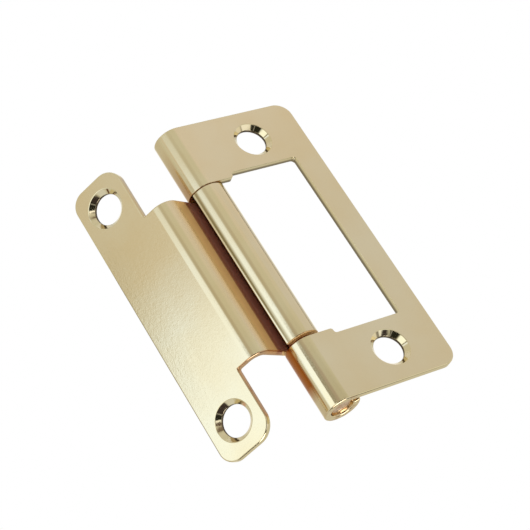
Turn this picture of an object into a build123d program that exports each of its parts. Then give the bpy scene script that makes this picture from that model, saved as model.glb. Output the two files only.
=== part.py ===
from build123d import *
import os
from math import radians, tan

# Single cranked flush hinge: two pressed sheet leaves curled round one pin, plated in pale brass.
# Millimetres. The pin stands upright along Z, and the frame leaf lies in the XZ plane with its
# countersunk face towards -Y. The origin is midway between its two screw holes, on its seating face.

# Sheet, pin and the fits between them
sheet = 1.1
pin_diameter = 3.5
pin_recess = 0.4
pin_chamfer = 0.3
running_gap = 0.05
edge_break = 0.12

# Frame leaf, the flat one with the window
frame_length = 50.0
frame_width = 19.6
frame_corner = 2.4
frame_curl_angle = 300.0
end_knuckle = 10.9
window_bar = 4.1
slot_shoulder = 0.85
window_corner = 0.6
tongue_reach = 3.9
tongue_corner = 0.4

# Cranked leaf, measured from the pin and from the sharp corner of its bend
play_below = 0.1
play_above = 0.5
crank_curl_angle = 280.0
web_length = 8.05
crank_bend_angle = 84.0
bend_radius = 2.7
plate_set_in = 0.9
neck_depth = 4.2
lug_width = 9.0
lug_inner_corner = 3.0
lug_outer_corner = 2.4

# Screw holes, countersunk at 90 degrees, placed from the ends of their leaf. In the frame leaf they
# are set in from its free edge, and in the cranked leaf they are centred on the lugs.
hole_diameter = 4.6
sink_diameter = 6.0
frame_hole_end = 5.3
frame_hole_inset = 9.0
crank_hole_end = 4.9

# Angle that the cranked leaf is swung open, from lying flush in the window
opened_angle = 153.0

# Sizes and places that follow from those above
knuckle_slot = frame_length - 2 * end_knuckle
window_length = knuckle_slot + 2 * slot_shoulder
plate_length = frame_length - 2 * plate_set_in
plate_width = neck_depth + lug_width
pin_x = frame_width - frame_hole_inset
pin_y = pin_diameter / 2
free_edge_x = pin_x - frame_width
crank_bore = pin_diameter / 2 + running_gap
setback = bend_radius * tan(radians(crank_bend_angle) / 2)

# Least turn, in degrees, between two faces whose shared edge is broken
least_turn_angle = 20


def bent_sheet(surface, length):
    """Sheet between surface(0) and surface(sheet), which give tangent edges in XY and their two tips."""
    front, front_tips = surface(0)
    back, back_tips = surface(sheet)
    ends = [Line(*pair) for pair in zip(front_tips, back_tips)]
    return extrude(make_face([*front, *back, *ends]), length / 2, both=True)


def soften(leaf):
    """Break the pressed edges, and leave the seams where two faces run on into each other."""
    sharp = []
    for edge in leaf.edges():
        beside = [face for face in leaf.faces() if any(edge.is_same(side) for side in face.edges())]
        first, second = [face.normal_at(edge @ 0.5) for face in beside]
        if first.get_angle(second) > least_turn_angle:
            sharp.append(edge)
    return chamfer(sharp, edge_break)


def screw_hole():
    """Countersunk hole to cut away, with its rim in the local XY plane."""
    sink_depth = (sink_diameter - hole_diameter) / 2
    rim_at_top = (Align.CENTER, Align.CENTER, Align.MAX)
    sink = Cone(hole_diameter / 2, sink_diameter / 2, sink_depth, align=rim_at_top)
    return Cylinder(hole_diameter / 2, 4 * sheet) + sink


def frame_surface(depth):
    """The frame leaf's section at a depth below its countersunk face."""
    flat = Line((free_edge_x, depth - sheet), (pin_x, depth - sheet))
    curl = JernArc(flat @ 1, (1, 0), pin_y + sheet - depth, frame_curl_angle)
    return [flat, curl], [flat @ 0, curl @ 1]


def window():
    """Cutter for the window and for the slot where the middle knuckle turns."""
    start = free_edge_x + window_bar
    step = pin_x - tongue_reach
    end = pin_x + pin_y + 2 * sheet
    outline = Pos((start + step) / 2, 0) * Rectangle(step - start, window_length)
    outline += Pos((start + end) / 2, 0) * Rectangle(end - start, knuckle_slot)
    outline = fillet(outline.vertices().group_by(Axis.X)[1], tongue_corner)
    outline = fillet(outline.vertices().group_by(Axis.X)[0], window_corner)
    return extrude(Plane.XZ * outline, 2 * pin_diameter + 2 * sheet, both=True)


def frame_leaf():
    """Flat leaf with a window, and an end knuckle curled round the pin on each side of it."""
    leaf = bent_sheet(frame_surface, frame_length)
    corners = leaf.edges().filter_by(Axis.Y).group_by(Axis.X)[0]
    leaf = soften(fillet(corners, frame_corner) - window())
    for side in (-1, 1):
        middle = (0, -sheet, side * (frame_length / 2 - frame_hole_end))
        leaf -= Plane(middle, x_dir=(1, 0, 0), z_dir=(0, -1, 0)) * screw_hole()
    return leaf


def crank_surface(depth):
    """The cranked leaf's section at a depth below the face that touches the pin, lying flush."""
    start = Vector(pin_x, pin_y - crank_bore - depth)
    curl = JernArc(start, (1, 0), crank_bore + depth, crank_curl_angle)
    web = Line(start, start - (web_length - setback, 0))
    bend = JernArc(web @ 1, (-1, 0), bend_radius - depth, crank_bend_angle)
    plate = Line(bend @ 1, (bend @ 1) + (bend % 1) * (plate_width - setback))
    return [curl, web, bend, plate], [curl @ 1, plate @ 1]


def cranked_leaf():
    """Leaf with the middle knuckle, a web, one bend, and a plate with a lug at each end."""
    leaf = bent_sheet(crank_surface, knuckle_slot - play_below - play_above)
    corner = Vector(pin_x - web_length, pin_y - crank_bore)
    along = Vector(-1, 0).rotate(Axis.Z, crank_bend_angle)
    plate_face = Plane(corner, x_dir=along, z_dir=along.cross(Vector(0, 0, 1)))
    lugs = Pos(neck_depth + lug_width / 2, 0) * Rectangle(lug_width, plate_length)
    lugs = fillet(lugs.vertices().group_by(Axis.X)[0], lug_inner_corner)
    lugs = fillet(lugs.vertices().group_by(Axis.X)[-1], lug_outer_corner)
    leaf = soften(leaf + plate_face * extrude(lugs, -sheet))
    for side in (-1, 1):
        seat = Pos(neck_depth + lug_width / 2, side * (plate_length / 2 - crank_hole_end))
        leaf -= plate_face * seat * screw_hole()
    leaf = Pos(0, 0, (play_below - play_above) / 2) * leaf
    return leaf.rotate(Axis((pin_x, pin_y, 0), (0, 0, 1)), opened_angle)


def hinge_pin():
    """Plain pin, pressed into the end knuckles and set just inside their ends."""
    pin = Cylinder(pin_diameter / 2, frame_length - 2 * pin_recess)
    pin = chamfer(pin.edges(), pin_chamfer)
    return Pos(pin_x, pin_y) * pin


os.makedirs("parts", exist_ok=True)
export_step(frame_leaf(), "parts/frame_leaf.step")
export_step(cranked_leaf(), "parts/cranked_leaf.step")
export_step(hinge_pin(), "parts/hinge_pin.step")
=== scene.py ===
from math import cos, degrees, radians, sin, tan

import bmesh
import bpy
from bpy.props import FloatProperty, FloatVectorProperty, IntProperty, PointerProperty
from mathutils import Matrix, Quaternion, Vector


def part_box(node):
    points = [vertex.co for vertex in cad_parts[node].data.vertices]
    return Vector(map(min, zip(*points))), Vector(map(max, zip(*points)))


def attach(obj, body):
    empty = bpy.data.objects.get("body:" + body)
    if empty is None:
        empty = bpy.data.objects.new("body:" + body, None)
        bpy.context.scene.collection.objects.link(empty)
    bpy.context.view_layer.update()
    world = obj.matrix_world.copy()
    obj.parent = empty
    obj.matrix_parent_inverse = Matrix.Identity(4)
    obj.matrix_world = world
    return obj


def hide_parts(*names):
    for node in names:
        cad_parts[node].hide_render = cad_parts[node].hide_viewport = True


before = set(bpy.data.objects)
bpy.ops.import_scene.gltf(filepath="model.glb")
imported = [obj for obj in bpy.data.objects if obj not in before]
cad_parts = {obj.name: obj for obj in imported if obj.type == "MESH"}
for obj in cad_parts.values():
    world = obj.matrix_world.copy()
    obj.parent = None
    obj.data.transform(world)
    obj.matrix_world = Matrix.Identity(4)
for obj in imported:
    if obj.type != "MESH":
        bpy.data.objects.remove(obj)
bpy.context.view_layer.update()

bl_info = {
    "name": "Cranked Hinge",
    "version": (1, 0, 0),
    "blender": (4, 5, 0),
    "location": "View3D > Sidebar > Hinge",
    "description": "Models a cranked flush hinge in bright brass plate, on a white studio stage",
    "category": "Object",
}

leaf_low, leaf_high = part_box("frame_leaf")
pin_low, pin_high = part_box("hinge_pin")
MM = 0.001

# Distance below which two places are one, and dot product above which two directions are one
SLACK = 0.001 * MM
ALIGNED = 0.99

# Least turn between two faces whose shared edge is rounded, and least turn that is shaded as a crease
ROUNDED_TURN = radians(32)
CREASED_TURN = radians(50)

# Swells in a metre of the plating's patches, of its coarse and fine ripple, and of its copper marks
PATCHES = 90
SWELLS = 1700
PITS = 4200
MARKS = 1500

# Depth of the ripple, and how deep beside a cut face the finish of that face still shows
RIPPLE_DEPTH = 0.03 * MM
CUT_DEPTH = 0.12 * MM


def length(name, description, value):
    """A size in metres that the user can change."""
    return FloatProperty(name=name, description=description, default=value, min=0, unit="LENGTH")


def angle(name, description, value):
    """An angle, given in degrees, that the user can change."""
    return FloatProperty(name=name, description=description, default=radians(value), subtype="ANGLE")


def tint(name, description, value):
    """A colour that the user can change."""
    return FloatVectorProperty(
        name=name, description=description, default=value, min=0, max=1, size=3, subtype="COLOR"
    )


def share(name, description, value):
    """A number between 0 and 1 that the user can change."""
    return FloatProperty(
        name=name, description=description, default=value, min=0, max=1, subtype="FACTOR"
    )


class HingeSizes(bpy.types.PropertyGroup):
    """Sizes of the sheet, the pin and the two leaves, taken from the frame where it has them."""

    sheet: length("Sheet", "Thickness of both leaves", -leaf_low.y)
    edge: length("Edge", "Radius on the pressed edges", 0.22 * MM)
    hole_edge: length("Hole Edge", "Radius on the rims of the screw holes", 0.08 * MM)
    pin_radius: length("Pin Radius", "Radius of the pin", (pin_high.x - pin_low.x) / 2)
    pin_chamfer: length("Pin Chamfer", "Chamfer at both ends of the pin", 0.3 * MM)
    running_gap: length("Running Gap", "Gap between the pin and the middle knuckle", 0.05 * MM)
    hole: length("Hole", "Diameter of the screw holes", 4.6 * MM)
    sink: length("Sink", "Diameter of the countersinks at the surface", 6.0 * MM)

    frame_corner: length("Frame Corner", "Radius of the frame leaf's two corners", 2.4 * MM)
    frame_curl: angle("Frame Curl", "Turn of the end knuckles", 300)
    frame_bar: length("Frame Bar", "Width of the bar beside the window", 4.1 * MM)
    end_knuckle: length("End Knuckle", "Length of each end knuckle", 10.9 * MM)
    slot_shoulder: length("Slot Shoulder", "Step from the slot out to the window", 0.85 * MM)
    window_corner: length("Window Corner", "Radius of the window's corners", 0.6 * MM)
    tongue_reach: length("Tongue Reach", "From the window's step to the pin", 3.9 * MM)
    tongue_corner: length("Tongue Corner", "Radius at the step", 0.4 * MM)
    frame_hole_end: length("Frame Hole End", "From the leaf's end to the hole", 5.3 * MM)

    play_below: length("Play Below", "Gap below the middle knuckle", 0.1 * MM)
    play_above: length("Play Above", "Gap above the middle knuckle", 0.5 * MM)
    crank_curl: angle("Crank Curl", "Turn of the middle knuckle", 280)
    web: length("Web", "From the pin to the corner of the crank", 8.05 * MM)
    crank_bend: angle("Crank Bend", "Turn from the web to the plate", 84)
    bend_radius: length("Bend Radius", "Outer radius of the crank's bend", 2.7 * MM)
    plate_set_in: length("Plate Set In", "How much shorter the plate is at each end", 0.9 * MM)
    neck: length("Neck", "From the corner of the crank to the lugs", 4.2 * MM)
    lug: length("Lug", "Width of the lugs", 9.0 * MM)
    lug_inner_corner: length("Lug Inner Corner", "Radius beside the neck", 3.0 * MM)
    lug_outer_corner: length("Lug Outer Corner", "Radius at the plate's edge", 2.4 * MM)
    crank_hole_end: length("Crank Hole End", "From the plate's end to the hole", 4.9 * MM)
    opened: angle("Opened", "Swing of the cranked leaf from lying flush", 153)

    arc_step: angle("Arc Step", "Turn of each facet round the knuckles and the bend", 3)
    tip_turn: angle("Tip Turn", "Turn of the last facet of each knuckle, which is wider", 7)
    tip_flare: length("Tip Flare", "How far the middle knuckle's tip stands out", 0.1 * MM)
    round_facets: IntProperty(
        name="Round Facets", description="Facets round a screw hole or the pin", default=96, min=24
    )


class HingeFinish(bpy.types.PropertyGroup):
    """Colours and gloss of the plating, with painted shade and painted reflections by the knuckles."""

    brass: tint("Brass", "Colour of the bright plating", (0.875, 0.775, 0.525))
    brass_deep: tint("Deep Brass", "Colour of its richer patches", (0.86, 0.725, 0.45))
    gloss: share("Gloss", "Roughness of the plating", 0.08)
    frame_peel: share("Frame Peel", "Strength of the fine ripple on the frame leaf and pin", 0.08)
    crank_peel: share("Crank Peel", "Strength of the fine ripple on the cranked leaf", 0.16)
    # Copper also paints a reflection on the end knuckles' flanks.
    copper: tint("Copper", "Colour where the plating ran thin", (0.46, 0.15, 0.03))
    copper_gloss: share("Copper Gloss", "Roughness of copper, of the crevice and of bare metal", 0.2)
    # Painted shade and reflection: the dark colour deep between the web and the knuckle, and the paler
    # painted reflection along it.
    crevice_shade: tint("Crevice", "Colour deep between the web and the knuckle", (0.38, 0.15, 0.08))
    reflected_streak: tint("Streak", "Colour of the paler streak along the crevice", (0.60, 0.29, 0.22))
    # Painted reflection of the knuckle on the web, as an orange band; the same colour also goes on the
    # knuckle's ends.
    satin_and_reflection: tint("Satin", "Colour of the web's satin band and the knuckle's ends", (0.95, 0.61, 0.24))
    satin_gloss: share("Satin Gloss", "Roughness of the satin places and of the pin's marks", 0.35)
    satin_metal: share("Satin Metal", "How metallic the satin places and the crevice are", 0.3)
    # Painted shade: the dark line in the knuckle's highlight beside its tip.
    painted_shade_line: tint("Painted_Shade_Line", "Colour of the dull line beside the knuckle's tip", (0.52, 0.42, 0.23))
    # Own colour of the torn cut face in the window, painted shade in the screw holes, and the darker
    # near part of the plate's edge.
    bare_and_shade: tint("Bare", "Colour of the bare metal on cut faces", (0.12, 0.09, 0.06))
    pin_end: tint("Pin End", "Colour of the pin's cut ends", (0.78, 0.60, 0.44))


class HingeStage(bpy.types.PropertyGroup):
    """Where the camera stands, and what lights the hinge."""

    azimuth: angle("Azimuth", "Direction that the camera stands in, from the front", 35.727)
    elevation: angle("Elevation", "Height of the camera above the horizon", 24.738)
    roll: angle("Roll", "How far the camera leans to its right", -147.289)
    distance: length("Distance", "From the camera to the point that it looks at", 262.718 * MM)
    target: FloatVectorProperty(
        name="Target", description="Point in the middle of the picture", unit="LENGTH",
        default=(7.201 * MM, 3.594 * MM, -1.133 * MM), size=3,
    )
    lens: FloatProperty(name="Lens", description="Focal length in millimetres", default=123.741)
    floor_drop: length("Floor Drop", "From the origin down to the floor", 150 * MM)
    floor_radius: length("Floor Radius", "Radius at which the floor has faded out", 110 * MM)
    floor_fade: share("Floor Fade", "Share of that radius at which it starts to fade", 0.4)
    floor_colour: tint("Floor Colour", "Colour of the floor", (0.9, 0.9, 0.9))
    floor_facets: IntProperty(
        name="Floor Facets", description="Facets round the floor", default=96, min=24
    )
    lamp_height: length("Lamp Height", "From the origin up to the overhead lamp", 850 * MM)
    lamp_size: length("Lamp Size", "Diameter of the overhead lamp", 700 * MM)
    lamp_power: FloatProperty(name="Lamp Power", description="Light it gives, in watts", default=4.5)


def toward(azimuth, elevation):
    """Direction at an angle from +X towards +Y, and above the horizon, in degrees."""
    flat = cos(radians(elevation))
    return Vector(
        (flat * cos(radians(azimuth)), flat * sin(radians(azimuth)), sin(radians(elevation)))
    )


def deselect():
    """Nothing is selected after this, so that an operator acts only on what comes next."""
    bpy.ops.object.select_all(action="DESELECT")


def settle(name):
    """Name the new primitive and put its place into its mesh."""
    piece = bpy.context.object
    piece.name = piece.data.name = name
    bpy.ops.object.transform_apply(location=True, rotation=True, scale=True)
    return piece


def block(name, low, high, turn=Matrix.Identity(4)):
    """Box between two corners, turned as a whole where that is asked for."""
    deselect()
    low, high = Vector(low), Vector(high)
    place = turn @ Matrix.Translation((low + high) / 2)
    spot, facing, _ = place.decompose()
    bpy.ops.mesh.primitive_cube_add(
        size=1, location=spot, rotation=facing.to_euler(), scale=high - low
    )
    return settle(name)


def pick(kind, test):
    """Select, in edit mode, only the faces or edges that pass a test."""
    bpy.ops.mesh.select_mode(type=kind)
    bpy.ops.mesh.select_all(action="DESELECT")
    mesh = bpy.context.object.data
    shape = bmesh.from_edit_mesh(mesh)
    found = [part for part in (shape.faces if kind == "FACE" else shape.edges) if test(part)]
    if not found:
        raise RuntimeError(f"nothing to select on {bpy.context.object.name}")
    for part in found:
        part.select_set(True)
    bmesh.update_edit_mesh(mesh)


def middle(part):
    """Middle of a face or an edge."""
    return sum((corner.co for corner in part.verts), Vector()) / len(part.verts)


def same(first, second):
    """Whether two measures agree."""
    return abs(first - second) < SLACK


def runs_along(edge, way):
    """Whether an edge runs along a direction, whichever end comes first."""
    run = (edge.verts[1].co - edge.verts[0].co).normalized()
    return abs(run.dot(Vector(way))) > ALIGNED


def on_plane(point, facing):
    """Test for faces that lie on a plane and face its way."""
    point, facing = Vector(point), Vector(facing).normalized()

    def test(face):
        return same((middle(face) - point).dot(facing), 0) and face.normal.dot(facing) > ALIGNED

    return test


def draw_out(move):
    """Extrude the selected face by a move."""
    bpy.ops.mesh.extrude_region_move(TRANSFORM_OT_translate={"value": move})


def curl(centre, turn, step):
    """Spin the selected face anticlockwise, seen from above, round an upright axis."""
    steps = max(1, round(turn / step))
    bpy.ops.mesh.spin(steps=steps, angle=turn, center=centre, axis=(0, 0, -1))


def curl_knuckle(centre, turn, sizes):
    """Curl a knuckle, with a wider facet at its tip that leaves room to round the edges."""
    curl(centre, turn - sizes.tip_turn, sizes.arc_step)
    curl(centre, sizes.tip_turn, sizes.tip_turn)


def face_outwards():
    """Merge what lies in one place, and turn every face outwards."""
    bpy.ops.mesh.select_all(action="SELECT")
    bpy.ops.mesh.remove_doubles(threshold=SLACK)
    bpy.ops.mesh.normals_make_consistent(inside=False)


def round_corners(test, radius, facets=12):
    """Round the edges that pass a test."""
    pick("EDGE", test)
    bpy.ops.mesh.bevel(offset=radius, offset_type="OFFSET", segments=facets, profile=0.5)


def cut(piece, cutter):
    """Take the cutter's shape out of the piece."""
    deselect()
    piece.select_set(True)
    bpy.context.view_layer.objects.active = piece
    bpy.ops.object.modifier_add(type="BOOLEAN")
    taken = piece.modifiers[-1]
    taken.operation = "DIFFERENCE"
    taken.solver = "EXACT"
    taken.object = cutter
    bpy.ops.object.modifier_apply(modifier=taken.name)
    bpy.data.meshes.remove(cutter.data)


def screw_cutter(sizes, centre, facing):
    """Cutter for a countersunk hole, whose rim lies at the centre and faces the given way."""
    deselect()
    facing = Vector(facing).normalized()
    sink_depth = (sizes.sink - sizes.hole) / 2
    through = 4 * sizes.sheet
    throat = Vector(centre) - facing * sink_depth
    bpy.ops.mesh.primitive_cylinder_add(
        vertices=sizes.round_facets, radius=sizes.hole / 2, depth=through,
        location=throat - facing * through / 2,
        rotation=facing.to_track_quat("Z", "Y").to_euler(),
    )
    cutter = settle("screw_cutter")
    bpy.ops.object.mode_set(mode="EDIT")
    pick("FACE", on_plane(throat, facing))
    draw_out(facing * 2 * sink_depth)
    grown = (sizes.hole / 2 + 2 * sink_depth) / (sizes.hole / 2)
    bpy.ops.transform.resize(value=(grown,) * 3, center_override=throat + facing * 2 * sink_depth)
    bpy.ops.object.mode_set(mode="OBJECT")
    return cutter


def round_edges(piece, radius, facets):
    """Round every edge that turns more than the facets of one that is rounded already."""
    deselect()
    piece.select_set(True)
    bpy.context.view_layer.objects.active = piece
    bpy.ops.object.modifier_add(type="BEVEL")
    rounded = piece.modifiers[-1]
    rounded.width = radius
    rounded.segments = facets
    rounded.limit_method = "ANGLE"
    rounded.angle_limit = ROUNDED_TURN
    rounded.use_clamp_overlap = False
    rounded.miter_outer = "MITER_ARC"
    bpy.ops.object.modifier_apply(modifier=rounded.name)


def resize(factor):
    """Resize the active piece about the origin."""
    bpy.ops.object.mode_set(mode="EDIT")
    bpy.ops.mesh.select_all(action="SELECT")
    bpy.ops.transform.resize(value=(factor,) * 3, center_override=(0, 0, 0))
    bpy.ops.object.mode_set(mode="OBJECT")


def shade(piece):
    """Shade the piece smoothly, with its larger faces kept true.

    The piece is enlarged meanwhile, because normals aren't weighted on faces as small as these.
    """
    resize(1 / MM)
    bpy.ops.object.shade_smooth_by_angle(angle=CREASED_TURN)
    bpy.ops.object.modifier_add(type="WEIGHTED_NORMAL")
    even = piece.modifiers[-1]
    even.keep_sharp = True
    bpy.ops.object.modifier_apply(modifier=even.name)
    resize(MM)


class Value:
    """A shader socket that Python sums can be written with."""

    def __init__(self, tree, socket):
        self.tree = tree
        self.socket = socket

    def __add__(self, other):
        return self.tree.math("ADD", self, other)

    __radd__ = __add__

    def __mul__(self, other):
        return self.tree.math("MULTIPLY", self, other)

    __rmul__ = __mul__

    def __sub__(self, other):
        return self.tree.math("SUBTRACT", self, other)

    def __rsub__(self, other):
        return self.tree.math("SUBTRACT", other, self)

    def __or__(self, other):
        return self.tree.math("MAXIMUM", self, other)

    __ror__ = __or__

    def __abs__(self):
        return self.tree.math("ABSOLUTE", self)


class Tree:
    """The nodes of a material or of the world."""

    def __init__(self, owner):
        owner.use_nodes = True
        self.nodes = owner.node_tree.nodes
        self.links = owner.node_tree.links
        self.nodes.clear()

    def node(self, kind, settings=None, sockets=None):
        """Add a node, set it up, and give its outputs as a list of values.

        Sockets go by their names, or by their numbers where two of them have one name.
        """
        made = self.nodes.new("ShaderNode" + kind)
        for name, setting in (settings or {}).items():
            setattr(made, name, setting)
        for name, given in (sockets or {}).items():
            if isinstance(given, Value):
                self.links.new(given.socket, made.inputs[name])
            else:
                made.inputs[name].default_value = given
        return [Value(self, socket) for socket in made.outputs]

    def math(self, operation, *terms):
        """Result of a sum on numbers."""
        return self.node("Math", {"operation": operation}, dict(enumerate(terms)))[0]

    def vector(self, operation, *terms):
        """Results of a sum on vectors, the first a vector and the second a number."""
        return self.node("VectorMath", {"operation": operation}, dict(enumerate(terms)))

    def place(self):
        """Where each point of the piece is."""
        return self.node("TexCoord")[3]

    def blend(self, mask, first, second):
        """Colour between two others, which is the second where the mask is 1."""
        settings = {"data_type": "RGBA"}
        colours = [given if isinstance(given, Value) else (*given, 1) for given in (first, second)]
        return self.node("Mix", settings, {0: mask, 6: colours[0], 7: colours[1]})[2]

    def ramp(self, value, low, high, to_low=0.0, to_high=1.0, smooth=False):
        """Value carried from one range to another, and held at its ends."""
        settings = {"interpolation_type": "SMOOTHSTEP" if smooth else "LINEAR", "clamp": True}
        return self.node("MapRange", settings, {0: value, 1: low, 2: high, 3: to_low, 4: to_high})[0]

    def noise(self, place, scale, detail=2.0):
        """Smooth noise from 0 to 1, with so many swells in a metre."""
        return self.node("TexNoise", {}, {"Vector": place, "Scale": scale, "Detail": detail})[0]

    def cut_face(self, value, edge, depth):
        """1 on a cut face at the edge of a value, and 0 from a depth into the sheet beside it."""
        return self.ramp(value, edge + depth, edge + depth / 3)

    def dot(self, first, second):
        """How far one vector reaches along another."""
        return self.vector("DOT_PRODUCT", first, second)[1]

    def beside(self, place, point):
        """Vector to a place from a point."""
        return self.vector("SUBTRACT", place, point)[0]

    def off_axis(self, offset):
        """How far a vector reaches away from upright."""
        level = self.vector("MULTIPLY", offset, (1, 1, 0))[0]
        return self.vector("LENGTH", level)[1]

    def upward(self, offset):
        """How far a vector reaches up."""
        return self.dot(offset, (0, 0, 1))


def brass(name, finish, peel, plating, layers, rippled=None):
    """Bright plate with a fine ripple, and other finishes laid over it.

    layers gives, for each of these, where it lies, its colour, its roughness and how metallic it is,
    and rippled gives how much of the ripple each place has.
    """
    material = bpy.data.materials.new(name)
    tree = Tree(material)
    place = tree.place()
    patches = tree.noise(place, PATCHES, detail=3)
    swell = tree.noise(place, SWELLS)
    pits = tree.noise(place, PITS)
    colour = tree.blend(tree.ramp(patches, 0.35, 0.65), *plating)
    smoothest, roughest = finish.gloss - 0.02, finish.gloss + 0.03
    roughness = tree.ramp(pits, 0.3, 0.7, smoothest, roughest)
    metallic = 1
    for mask, tinge, gloss, metal in layers(tree, place):
        colour = tree.blend(mask, colour, tinge)
        roughness = roughness + mask * (gloss - roughness)
        metallic = metallic + mask * (metal - metallic)
    height = swell * 0.5 + pits * 0.5 - 0.5
    if rippled:
        height = height * rippled(tree, place)
    sockets = {"Strength": peel, "Distance": RIPPLE_DEPTH, "Height": height}
    normal = tree.node("Bump", {}, sockets)[0]
    surface = tree.node(
        "BsdfPrincipled", {},
        {"Base Color": colour, "Metallic": metallic, "Roughness": roughness, "Normal": normal},
    )[0]
    tree.node("OutputMaterial", {}, {"Surface": surface})
    return material


def copper_marks(tree, place, strength):
    """Marks on a cut end, where the plating ran thin."""
    return tree.ramp(tree.noise(place, MARKS, detail=3), 0.4, 0.6, 0, strength)


def hole_walls(tree, place, sizes, middles, facing):
    """Walls of the screw holes below their countersinks, which get painted shade."""
    found = 0
    for spot in middles:
        sideways = tree.vector("CROSS_PRODUCT", tree.beside(place, spot), facing)[0]
        away = tree.vector("LENGTH", sideways)[1]
        found = found | tree.cut_face(away, sizes.hole / 2, CUT_DEPTH / 2)
    return found


def dress(piece, node, body, material):
    """Stand the piece in for its solid, with its finish."""
    piece.data.materials.clear()
    piece.data.materials.append(material)
    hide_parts(node)
    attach(piece, body)


def pin_middle():
    """Middle of the pin."""
    return (pin_low + pin_high) / 2


class HINGE_OT_frame_leaf(bpy.types.Operator):
    """Model the flat leaf, with its window, its screw holes and its two end knuckles"""

    bl_idname = "hinge.frame_leaf"
    bl_label = "Frame Leaf"

    def execute(self, context):
        sizes = context.scene.hinge_sizes
        finish = context.scene.hinge_finish
        free_edge, top = leaf_low.x, leaf_high.z
        pin = pin_middle()
        leaf = block("leaf_plate", (free_edge, -sizes.sheet, -top), (pin.x, 0, top))
        bpy.ops.object.mode_set(mode="EDIT")
        round_corners(
            lambda edge: same(middle(edge).x, free_edge) and runs_along(edge, (0, 1, 0)),
            sizes.frame_corner,
        )
        pick("FACE", on_plane((pin.x, 0, 0), (1, 0, 0)))
        curl_knuckle(pin, sizes.frame_curl, sizes)
        face_outwards()
        bpy.ops.object.mode_set(mode="OBJECT")
        round_edges(leaf, sizes.edge, facets=4)

        slot_top = top - sizes.end_knuckle
        window_top = slot_top + sizes.slot_shoulder
        start = free_edge + sizes.frame_bar
        step = pin.x - sizes.tongue_reach
        clear = 4 * sizes.pin_radius
        window = block("window", (start, -clear, -window_top), (step, clear, window_top))
        bpy.ops.object.mode_set(mode="EDIT")
        for edge_x, radius in ((start, sizes.window_corner), (step, sizes.tongue_corner)):
            round_corners(
                lambda edge: same(middle(edge).x, edge_x) and runs_along(edge, (0, 1, 0)),
                radius, facets=6,
            )
        bpy.ops.object.mode_set(mode="OBJECT")
        cut(leaf, window)
        within = (start + step) / 2
        cut(leaf, block("slot", (within, -clear, -slot_top), (pin.x + clear, clear, slot_top)))
        bpy.ops.object.mode_set(mode="EDIT")
        round_corners(
            lambda edge: same(middle(edge).x, step)
            and same(abs(middle(edge).z), slot_top)
            and runs_along(edge, (0, 1, 0)),
            sizes.tongue_corner, facets=6,
        )
        bpy.ops.object.mode_set(mode="OBJECT")
        rims = [Vector((0, -sizes.sheet, side * (top - sizes.frame_hole_end))) for side in (-1, 1)]
        for rim in rims:
            cut(leaf, screw_cutter(sizes, rim, (0, -1, 0)))
        round_edges(leaf, sizes.hole_edge, facets=3)
        shade(leaf)

        def layers(tree, place):
            """Painted reflection in copper on the end knuckles' flanks, copper on their ends, the torn
            cut face in the window, and painted shade in the holes.
            """
            beside = tree.beside(place, pin)
            height = tree.upward(beside)
            up = abs(height)
            upper = tree.ramp(height, top - 2.2 * MM, top - 4.7 * MM, 0.2, 1)
            upper = upper * tree.ramp(height, 0, 1 * MM)
            lower = tree.ramp(height, 2 * MM - top, -slot_top - 0.9 * MM, 0.1, 0.6)
            lower = lower * tree.ramp(height, 0, -1 * MM)
            # Painted reflection: copper on the side of the end knuckles that faces azimuth 10 degrees,
            # fading along their length.
            flank_reflection = tree.ramp(tree.dot(beside, toward(10, 0)), 2.4 * MM, 2.6 * MM) * (upper | lower)
            across = tree.dot(place, (1, 0, 0))
            slot_end = tree.cut_face(up, slot_top, CUT_DEPTH)
            slot_end = slot_end * tree.ramp(across, step + 1.5 * MM, step + 3 * MM)
            barrel = sizes.pin_radius + sizes.sheet
            outer_end = tree.ramp(tree.off_axis(beside), barrel + 0.45 * MM, barrel + 0.25 * MM)
            outer_end = outer_end * tree.cut_face(up, top, -0.15 * MM)
            marks = copper_marks(tree, place, 0.4)
            copper = flank_reflection | slot_end * 0.3 | outer_end * marks
            inside = tree.cut_face(up, window_top, CUT_DEPTH) * tree.cut_face(across, start, -CUT_DEPTH)
            inside = inside * tree.ramp(across, pin.x - 1 * MM, pin.x - 1.5 * MM)
            depth = tree.dot(place, (0, 1, 0))
            torn = inside * tree.ramp(depth, -0.75 * MM, -0.45 * MM)
            torn = torn * tree.ramp(depth, 0.1 * MM, 0.03 * MM)
            # Painted shade: dark colour in the screw holes below the countersinks.
            hole_shade = hole_walls(tree, place, sizes, rims, (0, 1, 0))
            return (
                (copper, finish.copper, finish.copper_gloss, 1),
                (torn * 0.75, finish.bare_and_shade, finish.copper_gloss, 1),
                (hole_shade, finish.bare_and_shade, finish.copper_gloss, 1),
            )

        plating = finish.brass, finish.brass_deep
        plate = brass("brass_frame", finish, finish.frame_peel, plating, layers)
        dress(leaf, "frame_leaf", "frame_side", plate)
        return {"FINISHED"}


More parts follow.
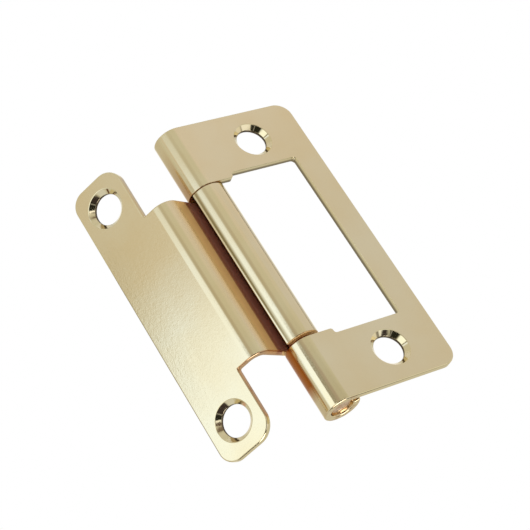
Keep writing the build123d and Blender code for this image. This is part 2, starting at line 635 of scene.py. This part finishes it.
class HINGE_OT_cranked_leaf(bpy.types.Operator):
    """Model the cranked leaf, with its knuckle, web, bend, plate and lugs"""

    bl_idname = "hinge.cranked_leaf"
    bl_label = "Cranked Leaf"

    def execute(self, context):
        sizes = context.scene.hinge_sizes
        finish = context.scene.hinge_finish
        pin = pin_middle()
        bore = sizes.pin_radius + sizes.running_gap
        web_face = pin.y - bore
        plate_top = leaf_high.z - sizes.plate_set_in
        knuckle_top = leaf_high.z - sizes.end_knuckle - (sizes.play_below + sizes.play_above) / 2
        setback = sizes.bend_radius * tan(sizes.crank_bend / 2)
        web_end = pin.x - sizes.web + setback
        bend_middle = Vector((web_end, web_face - sizes.bend_radius, 0))
        corner = Vector((pin.x - sizes.web, web_face, 0))
        turned = Matrix.Rotation(sizes.crank_bend, 3, "Z")
        along = turned @ Vector((-1, 0, 0))
        outward = turned @ Vector((0, 1, 0))

        leaf = block(
            "leaf_crank", (web_end, web_face - sizes.sheet, -plate_top), (pin.x, web_face, plate_top)
        )
        bpy.ops.object.mode_set(mode="EDIT")
        pick("FACE", on_plane((pin.x, 0, 0), (1, 0, 0)))
        curl_knuckle(pin, sizes.crank_curl, sizes)
        tip = Matrix.Rotation(sizes.crank_curl, 3, "Z") @ Vector((0, -1, 0))
        tip_edge = pin + tip * (bore + sizes.sheet)
        pick("EDGE", lambda edge: same((middle(edge) - tip_edge).xy.length, 0))
        bpy.ops.transform.translate(value=tip * sizes.tip_flare)
        pick("FACE", on_plane((web_end, 0, 0), (-1, 0, 0)))
        curl(bend_middle, sizes.crank_bend, sizes.arc_step)
        pick("FACE", on_plane(corner + along * setback, along))
        draw_out(along * (sizes.neck + sizes.lug - setback))
        face_outwards()
        bpy.ops.object.mode_set(mode="OBJECT")

        clear = 3 * sizes.web
        facing = Matrix.Translation(corner) @ Matrix.Rotation(sizes.crank_bend, 4, "Z")
        for side in (-1, 1):
            ends = sorted((side * knuckle_top, side * 2 * plate_top))
            notch = block("notch", (-sizes.neck, -clear, ends[0]), (clear, clear, ends[1]), facing)
            cut(leaf, notch)
        bpy.ops.object.mode_set(mode="EDIT")
        for reach, radius in (
            (sizes.neck + sizes.lug, sizes.lug_outer_corner),
            (sizes.neck, sizes.lug_inner_corner),
        ):
            round_corners(
                lambda edge: same((middle(edge) - corner).dot(along), reach)
                and same(abs(middle(edge).z), plate_top)
                and runs_along(edge, outward),
                radius,
            )
        bpy.ops.object.mode_set(mode="OBJECT")
        round_edges(leaf, sizes.edge, facets=4)
        seat = corner + along * (sizes.neck + sizes.lug / 2)
        hole_top = Vector((0, 0, plate_top - sizes.crank_hole_end))
        rims = [seat - hole_top, seat + hole_top]
        for rim in rims:
            cut(leaf, screw_cutter(sizes, rim, outward))
        round_edges(leaf, sizes.hole_edge, facets=3)
        shade(leaf)

        lift = Vector((0, 0, (sizes.play_below - sizes.play_above) / 2))
        bpy.ops.object.mode_set(mode="EDIT")
        bpy.ops.mesh.select_all(action="SELECT")
        bpy.ops.transform.translate(value=lift)
        bpy.ops.transform.rotate(value=-sizes.opened, orient_axis="Z", center_override=pin)
        bpy.ops.object.mode_set(mode="OBJECT")
        swung = Matrix.Rotation(sizes.opened, 3, "Z")
        web_way, off_web = swung @ Vector((-1, 0, 0)), swung @ Vector((0, -1, 0))

        def swing(point):
            """Where a point of the leaf, drawn lying flush, is once the leaf is swung open."""
            return pin + lift + swung @ (point - pin)

        def past_corner(tree, place):
            """How far a place lies past the corner of the crank, along the plate."""
            return tree.dot(tree.beside(place, swing(corner)), swung @ along)

        def layers(tree, place):
            """Painted shade line and reflection band on the web, painted shade by the knuckle, its
            ends, copper notches, a darker plate edge and painted shade in the holes.
            """
            beside = tree.beside(place, pin + lift)
            height = tree.upward(beside)
            up = abs(height)
            out, off = tree.dot(beside, web_way), tree.dot(beside, off_web)
            # Painted shade: a dark line in the knuckle's highlight, beside its tip.
            line = tree.ramp(off, -0.6 * MM, -0.3 * MM) * tree.ramp(off, 0.15 * MM, 0.05 * MM)
            line = line * tree.ramp(out, 2 * MM, 2.4 * MM)
            face = tree.ramp(off, 0.9 * MM, 1.3 * MM) * tree.ramp(off, 2.6 * MM, 2.3 * MM)
            face = face * tree.ramp(out, 0, 0.2 * MM)
            # Painted reflection: an orange band on the web between the dark gap and the bend.
            band = face * tree.ramp(out, 7.0 * MM, 5.2 * MM)
            barrel = bore + sizes.sheet
            from_axis = tree.off_axis(beside)
            end = tree.cut_face(up, knuckle_top, -CUT_DEPTH)
            end = end * tree.ramp(from_axis, barrel + 0.2 * MM, barrel + 0.1 * MM)
            # Painted shade and reflection: dark colour inside the knuckle and on the web next to it,
            # with a paler painted reflection along the middle.
            deep = tree.ramp(from_axis, barrel - 0.03 * MM, barrel - 0.08 * MM)
            deep = deep | face * tree.ramp(out, 3.7 * MM, 3.3 * MM)
            reflected_streak = tree.ramp(out, 3.0 * MM, 2.4 * MM) * tree.ramp(out, 0.7 * MM, 1.2 * MM)
            crevice_shade = tree.blend(reflected_streak, finish.crevice_shade, finish.reflected_streak)
            reach = past_corner(tree, place)
            notch = tree.ramp(up, knuckle_top - sizes.edge, knuckle_top - sizes.edge / 2)
            notch = notch * tree.ramp(reach, sizes.neck + 0.15 * MM, sizes.neck + 0.05 * MM)
            notch = notch * tree.ramp(height, -1 * MM, 1 * MM, 0.15, 0.6)
            plate_edge = sizes.neck + sizes.lug
            # Darker colour on the plate's outer edge, growing towards the near end.
            rim = tree.ramp(reach, plate_edge - 0.2 * MM, plate_edge - 0.1 * MM)
            rim = rim * tree.ramp(height, -12 * MM, -8 * MM, 0, 0.6)
            # Painted shade: dark colour in the screw holes below the countersinks.
            hole_shade = hole_walls(tree, place, sizes, [swing(spot) for spot in rims], swung @ outward)
            return (
                (line, finish.painted_shade_line, finish.gloss, 1),
                (band, finish.satin_and_reflection, finish.satin_gloss, finish.satin_metal),
                (deep, crevice_shade, finish.copper_gloss, finish.satin_metal),
                (notch, finish.copper, finish.copper_gloss, 1),
                (end, finish.satin_and_reflection, finish.satin_gloss, finish.satin_metal),
                (rim, finish.bare_and_shade, finish.copper_gloss, 1),
                (hole_shade, finish.bare_and_shade, finish.copper_gloss, 1),
            )

        def rippled(tree, place):
            """All of the ripple on the plate, and little on the bend, the web and the knuckle."""
            reach = past_corner(tree, place)
            return tree.ramp(reach, setback - 0.5 * MM, setback + 1 * MM, 0.15, 1)

        plating = finish.brass, finish.brass_deep
        plate = brass("brass_crank", finish, finish.crank_peel, plating, layers, rippled)
        dress(leaf, "cranked_leaf", "door_side", plate)
        return {"FINISHED"}


class HINGE_OT_pin(bpy.types.Operator):
    """Model the pin"""

    bl_idname = "hinge.pin"
    bl_label = "Pin"

    def execute(self, context):
        sizes = context.scene.hinge_sizes
        finish = context.scene.hinge_finish
        deselect()
        bpy.ops.mesh.primitive_cylinder_add(
            vertices=sizes.round_facets, radius=sizes.pin_radius, depth=pin_high.z - pin_low.z,
            location=pin_middle(),
        )
        pin = settle("pin_rod")
        bpy.ops.object.mode_set(mode="EDIT")
        round_corners(lambda edge: not runs_along(edge, (0, 0, 1)), sizes.pin_chamfer, facets=1)
        bpy.ops.object.mode_set(mode="OBJECT")
        round_edges(pin, sizes.hole_edge, facets=2)
        shade(pin)

        def layers(tree, place):
            """Copper in marks on the cut ends."""
            marks = copper_marks(tree, place, 0.5)
            return ((marks, finish.copper, finish.satin_gloss, 1),)

        plating = finish.pin_end, finish.pin_end
        plate = brass("brass_pin", finish, finish.frame_peel, plating, layers)
        dress(pin, "hinge_pin", "frame_side", plate)
        return {"FINISHED"}


def stand_camera(stage):
    """Put the camera where the photograph was taken from."""
    back = toward(degrees(stage.azimuth) - 90, degrees(stage.elevation))
    bpy.ops.object.camera_add(location=Vector(stage.target) + back * stage.distance)
    camera = bpy.context.object
    camera.name = "camera"
    camera.rotation_mode = "QUATERNION"
    lean = Quaternion((0, 0, 1), -stage.roll)
    camera.rotation_quaternion = (-back).to_track_quat("-Z", "Y") @ lean
    camera.data.lens = stage.lens
    camera.data.clip_start = 10 * MM
    camera.data.clip_end = 10000 * MM
    bpy.context.scene.camera = camera


# What the plating mirrors: the colour of a room, and the lights and cards in it. Each has its colour,
# its azimuth from +X towards +Y, its elevation, half its width and height, and the softness of its
# edges across and up, all in degrees. The white backdrop opposite the camera has only the last four.
studio_room = (0.63, 0.62, 0.54)
studio_backdrop = (24, 24, 14, 14)
studio_lights = (
    ((0.66, 0.645, 0.64), (203, -22, 33, 28, 4, 12)),         # pale wall on the left
    ((0.72, 0.67, 0.64), (222, -36, 30, 8, 8, 4)),            # its foot
    ((0.58, 0.57, 0.60), (172, -22, 8, 12, 4, 6)),            # grey corner
    ((0.80, 0.77, 0.70), (192, 20, 13, 12, 8, 5)),            # pale wall higher up
    ((0.28, 0.26, 0.24), (200.5, 40, 8, 6.5, 3, 3)),          # dark shelf above it
    ((0.60, 0.40, 0.32), (71.5, -5.5, 4, 8, 2, 2)),           # copper card
    ((0.53, 0.515, 0.435), (278, -15, 40, 7.5, 6, 2.5)),      # table in front
    ((0.52, 0.49, 0.41), (302, -20, 10, 9, 6, 4)),            # its darker part
    ((0.43, 0.38, 0.33), (303, -15, 13, 7.2, 6, 0.6)),        # its near edge
    ((0.18, 0.13, 0.10), (262.2, -3, 4.3, 14, 1.2, 2.5)),     # dark doorway
    ((0.14, 0.10, 0.08), (268.5, 13.5, 5, 6.5, 1, 1)),        # its lintel
    ((0.02, 0.02, 0.015), (293, 29, 21, 21, 1.5, 2)),         # dark room behind the camera
    ((0.04, 0.03, 0.03), (270, 90, 36, 36, 3, 3)),            # its ceiling
    ((0.70, 0.72, 0.72), (28, 40, 30, 13, 8, 3)),             # right side, high
    ((0.12, 0.05, 0.02), (48, 14.5, 5, 4, 1.5, 1.5)),         # red-brown card
    ((0.98, 1.00, 1.02), (238, 42, 22, 11, 5, 2)),            # upper window
    ((1.30, 1.30, 1.30), (273.6, 14, 1.5, 18, 0.4, 2)),       # light tube
    ((0.35, 0.35, 0.35), (293, 42, 1.2, 10, 0.5, 3)),         # light tube, further off
    ((1.08, 1.22, 1.44), (336.5, -10, 23, 17.7, 6, 5.2)),     # key softbox
    ((1.17, 1.27, 1.31), (333, -3, 21, 17.5, 5, 3)),          # its bright core
    ((0.66, 0.62, 0.54), (353.5, -31, 4.5, 5.8, 3, 2.2)),     # shade on its lower corner
    ((0.36, 0.34, 0.28), (316, -19.5, 9.5, 2.9, 2.5, 0.3)),   # flag under it
    ((0.40, 0.38, 0.27), (0.7, -25.2, 6.5, 2.6, 0.8, 0.8)),   # flag beside it
)


def light_world(stage):
    """White for the camera, and for the metal a grey room with the lights of a product table."""
    world = bpy.data.worlds.new("studio")
    bpy.context.scene.world = world
    tree = Tree(world)
    way = tree.node("TexCoord")[0]

    def panel(azimuth, elevation, width, height, soft_across, soft_up):
        """1 on a panel of light, out to half its width and height, and 0 beyond its soft edges."""
        ahead = toward(azimuth, elevation)
        side = toward(azimuth - 90, 0)
        rise = side.cross(ahead)
        across = tree.math("ARCTAN2", tree.dot(way, side), tree.dot(way, ahead))
        up = tree.math("ARCSINE", tree.dot(way, rise))
        inside = 1
        for turn, half, soft in ((across, width, soft_across), (up, height, soft_up)):
            edges = radians(half + soft), radians(half - soft)
            inside = tree.ramp(abs(turn), *edges, smooth=True) * inside
        return inside

    room = studio_room
    for colour, spot in studio_lights:
        room = tree.blend(panel(*spot), room, colour)
    opposite = degrees(stage.azimuth) + 90, -degrees(stage.elevation)
    backdrop = panel(*opposite, *studio_backdrop)
    light = tree.node("LightPath")
    camera, glossy, through = light[0], light[3], light[6]
    white = tree.ramp(camera + (glossy + through) * backdrop, 0, 1)
    seen = tree.blend(white, room, (1, 1, 1))
    glow = tree.node("Background", {}, {"Color": seen, "Strength": 1.0})[0]
    tree.node("OutputWorld", {}, {"Surface": glow})


def hang_lamp(stage):
    """Broad soft lamp overhead, which also lights the floor."""
    bpy.ops.object.light_add(type="AREA", location=(0, 0, stage.lamp_height))
    lamp = bpy.context.object
    lamp.name = lamp.data.name = "overhead_lamp"
    lamp.data.shape = "DISK"
    lamp.data.size = stage.lamp_size
    lamp.data.energy = stage.lamp_power


def lay_floor(stage):
    """Pale round floor well below the hinge, which fades out into the white."""
    deselect()
    bpy.ops.mesh.primitive_circle_add(
        vertices=stage.floor_facets, radius=stage.floor_radius, fill_type="NGON",
        location=(0, 0, -stage.floor_drop),
    )
    floor = settle("floor")
    material = bpy.data.materials.new("floor_paper")
    tree = Tree(material)
    out = tree.off_axis(tree.place())
    fade_start = stage.floor_fade * stage.floor_radius
    faded = tree.ramp(out, fade_start, stage.floor_radius, smooth=True)
    paper = tree.node("BsdfDiffuse", {}, {"Color": (*stage.floor_colour, 1)})[0]
    clear = tree.node("BsdfTransparent")[0]
    surface = tree.node("MixShader", {}, {0: faded, 1: paper, 2: clear})[0]
    tree.node("OutputMaterial", {}, {"Surface": surface})
    floor.data.materials.append(material)


class HINGE_OT_stage(bpy.types.Operator):
    """Set up the camera, the studio light and the floor"""

    bl_idname = "hinge.stage"
    bl_label = "Stage"

    def execute(self, context):
        stage = context.scene.hinge_stage
        stand_camera(stage)
        light_world(stage)
        hang_lamp(stage)
        lay_floor(stage)
        context.scene.view_settings.view_transform = "Standard"
        return {"FINISHED"}


class HINGE_PT_panel(bpy.types.Panel):
    """Lists the sizes, the finish and the pieces"""

    bl_idname = "HINGE_PT_panel"
    bl_label = "Cranked Hinge"
    bl_space_type = "VIEW_3D"
    bl_region_type = "UI"
    bl_category = "Hinge"

    def draw(self, context):
        for group in (context.scene.hinge_sizes, context.scene.hinge_finish, context.scene.hinge_stage):
            column = self.layout.column(align=True)
            for name in group.__annotations__:
                column.prop(group, name)
        for operator in operators:
            self.layout.operator(operator.bl_idname)


operators = (HINGE_OT_stage, HINGE_OT_frame_leaf, HINGE_OT_cranked_leaf, HINGE_OT_pin)
classes = (HingeSizes, HingeFinish, HingeStage, *operators, HINGE_PT_panel)


def register():
    for each in classes:
        bpy.utils.register_class(each)
    bpy.types.Scene.hinge_sizes = PointerProperty(type=HingeSizes)
    bpy.types.Scene.hinge_finish = PointerProperty(type=HingeFinish)
    bpy.types.Scene.hinge_stage = PointerProperty(type=HingeStage)


def unregister():
    del bpy.types.Scene.hinge_stage
    del bpy.types.Scene.hinge_finish
    del bpy.types.Scene.hinge_sizes
    for each in reversed(classes):
        bpy.utils.unregister_class(each)


def main():
    """Build the stage and every piece."""
    register()
    bpy.ops.hinge.stage()
    bpy.ops.hinge.frame_leaf()
    bpy.ops.hinge.cranked_leaf()
    bpy.ops.hinge.pin()


if __name__ == "__main__":
    main()
